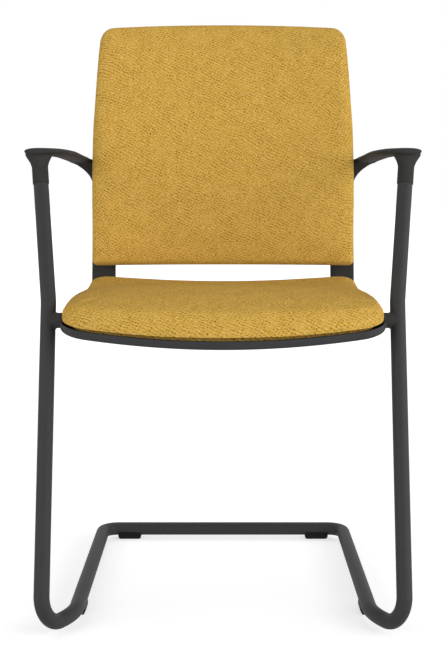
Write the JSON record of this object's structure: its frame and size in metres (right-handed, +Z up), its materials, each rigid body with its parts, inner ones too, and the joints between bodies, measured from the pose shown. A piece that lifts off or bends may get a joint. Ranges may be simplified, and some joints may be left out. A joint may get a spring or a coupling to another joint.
{
  "type": "sled base visitor chair",
  "caption": "Sled base visitor chair: bent steel tube frame, cast arms that run down as back uprights, padded fabric seat over a moulded pan, padded curved back.",
  "frame": {"origin": "on the floor, under the middle of the chair's width and depth", "axes": "+Z up, the sitter faces -Y, +X to the right as seen from the front"},
  "size_m": [0.5836, 0.6122, 0.8938],
  "materials": {
    "frame_coat": "satin charcoal powder coat on steel tube",
    "arm_coat": "satin charcoal powder coat on a casting",
    "moulded_plastic": "fine grained charcoal moulding",
    "glide_plastic": "smooth black moulding",
    "upholstery": "mustard textured weave over foam",
    "plywood": "sanded plywood, unfinished",
    "zinc_steel": "zinc plated",
    "black_steel": "black oxide"
  },
  "bodies": {
    "root": {"sled_frame": "frame_coat", "seat_cross_tube": "frame_coat", "glide_front_left": "glide_plastic", "glide_front_right": "glide_plastic", "glide_rear_left": "glide_plastic", "glide_rear_right": "glide_plastic", "arm_left": "arm_coat", "arm_grub_screw_left": "black_steel", "seat_rail_left": "black_steel", "seat_spacer_left": "zinc_steel", "seat_bolt_left_front": "black_steel", "seat_nut_left_front": "zinc_steel", "seat_bolt_left_middle": "black_steel", "seat_nut_left_middle": "zinc_steel", "seat_bolt_left_rear": "black_steel", "seat_nut_left_rear": "zinc_steel", "back_bolt_left_lower": "black_steel", "back_nut_left_lower": "zinc_steel", "back_bolt_left_upper": "black_steel", "back_nut_left_upper": "zinc_steel", "arm_right": "arm_coat", "arm_grub_screw_right": "black_steel", "seat_rail_right": "black_steel", "seat_spacer_right": "zinc_steel", "seat_bolt_right_front": "black_steel", "seat_nut_right_front": "zinc_steel", "seat_bolt_right_middle": "black_steel", "seat_nut_right_middle": "zinc_steel", "seat_bolt_right_rear": "black_steel", "seat_nut_right_rear": "zinc_steel", "back_bolt_right_lower": "black_steel", "back_nut_right_lower": "zinc_steel", "back_bolt_right_upper": "black_steel", "back_nut_right_upper": "zinc_steel", "seat_board": "plywood", "seat_cushion": "upholstery", "seat_pan": "moulded_plastic", "pan_screw_front_left": "black_steel", "pan_screw_front_right": "black_steel", "pan_screw_rear_left": "black_steel", "pan_screw_rear_right": "black_steel", "back_board": "plywood", "back_cushion": "upholstery", "back_shell": "moulded_plastic"}
  },
  "joints": []
}
